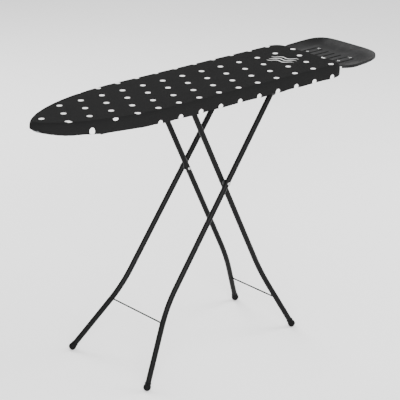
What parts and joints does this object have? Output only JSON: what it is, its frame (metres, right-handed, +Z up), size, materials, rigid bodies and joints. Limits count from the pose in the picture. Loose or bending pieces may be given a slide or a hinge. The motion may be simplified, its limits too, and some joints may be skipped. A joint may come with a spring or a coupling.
{
  "type": "folding ironing board",
  "caption": "Folding ironing board with a padded cloth-covered deck, nose end, crossed tube legs with rubber feet, a height latch and a dished iron rest at the wide end",
  "frame": {"origin": "on the floor, midway between the nose tip and the outer end of the iron rest, on the centre line", "axes": "+X from the nose towards the iron rest, +Y to the left side, +Z up"},
  "size_m": [1.3403, 0.4284, 0.9],
  "materials": {
    "cover_cloth": "black woven cotton printed with white dots",
    "felt": "pressed felt underlay",
    "elastic": "flat braided elastic",
    "deck_steel": "dark grey powder coat",
    "frame_steel": "satin black powder coat",
    "bright_steel": "bright rivet steel",
    "zinc_steel": "zinc plated pressed steel",
    "foot_rubber": "black moulded rubber",
    "black_nylon": "fine moulded black nylon",
    "tray_plastic": "black heat-resistant moulding, lightly grained"
  },
  "bodies": {
    "board": {"cover": "cover_cloth", "hem_elastic": "elastic", "felt_pad": "felt", "deck_mesh": "deck_steel", "deck_rim": "deck_steel", "cross_channel_nose": "deck_steel", "cross_channel_slide": "deck_steel", "cross_channel_hinge": "deck_steel", "cross_channel_rest": "deck_steel", "height_rack": "zinc_steel", "iron_rest_tray": "tray_plastic", "slide_rail_left": "deck_steel", "slide_rail_right": "deck_steel", "hinge_bracket_left": "deck_steel", "hinge_bracket_right": "deck_steel", "rest_strap_left": "frame_steel", "rest_strap_right": "frame_steel", "tray_screw_left_1": "bright_steel", "tray_screw_left_2": "bright_steel", "tray_screw_right_1": "bright_steel", "tray_screw_right_2": "bright_steel"},
    "outer_frame": {"outer_top_bar": "frame_steel", "outer_brace": "frame_steel", "outer_leg_left": "frame_steel", "outer_leg_right": "frame_steel", "outer_foot_left": "foot_rubber", "outer_foot_right": "foot_rubber", "outer_bar_plug_left": "black_nylon", "outer_bar_plug_right": "black_nylon", "pivot_rivet_left": "bright_steel", "pivot_rivet_right": "bright_steel", "pivot_spacer_left": "black_nylon", "pivot_spacer_right": "black_nylon"},
    "inner_frame": {"inner_top_bar": "frame_steel", "inner_brace": "frame_steel", "inner_leg_left": "frame_steel", "inner_leg_right": "frame_steel", "inner_foot_left": "foot_rubber", "inner_foot_right": "foot_rubber", "inner_bar_plug_left": "black_nylon", "inner_bar_plug_right": "black_nylon"},
    "slider": {"latch_saddle": "black_nylon", "lever_spring": "bright_steel", "slide_shoe_left": "black_nylon", "slide_shoe_right": "black_nylon"},
    "height_lever": {"height_lever": "zinc_steel", "rack_pawl": "zinc_steel", "lever_pin": "bright_steel", "lever_grip": "black_nylon"}
  },
  "joints": [
    {"name": "frame_fold", "type": "hinge", "parent": "board", "child": "outer_frame", "pos_m": [0.20092, 0, 0.842], "axis": [0, 1, 0], "range_deg": [0, 51]},
    {"name": "scissor_pivot", "type": "hinge", "parent": "outer_frame", "child": "inner_frame", "pos_m": [0.007, 0, 0.575], "axis": [0, 1, 0], "range_deg": [-112.51, 0]},
    {"name": "slider_pivot", "type": "hinge", "parent": "inner_frame", "child": "slider", "pos_m": [-0.11938, 0, 0.842], "axis": [0, 1, 0], "range_deg": [0, 61.51]},
    {"name": "lever_squeeze", "type": "hinge", "parent": "slider", "child": "height_lever", "pos_m": [-0.14138, -0.013, 0.842], "axis": [0, 0, 1], "range_deg": [0, 12], "stiffness_Nm_per_rad": 0.4, "springref_deg": -17.19}
  ],
  "couplings": [
    {"joint": "scissor_pivot", "follows": "frame_fold", "ratio": -2.2021},
    {"joint": "slider_pivot", "follows": "frame_fold", "ratio": 1.2021}
  ]
}
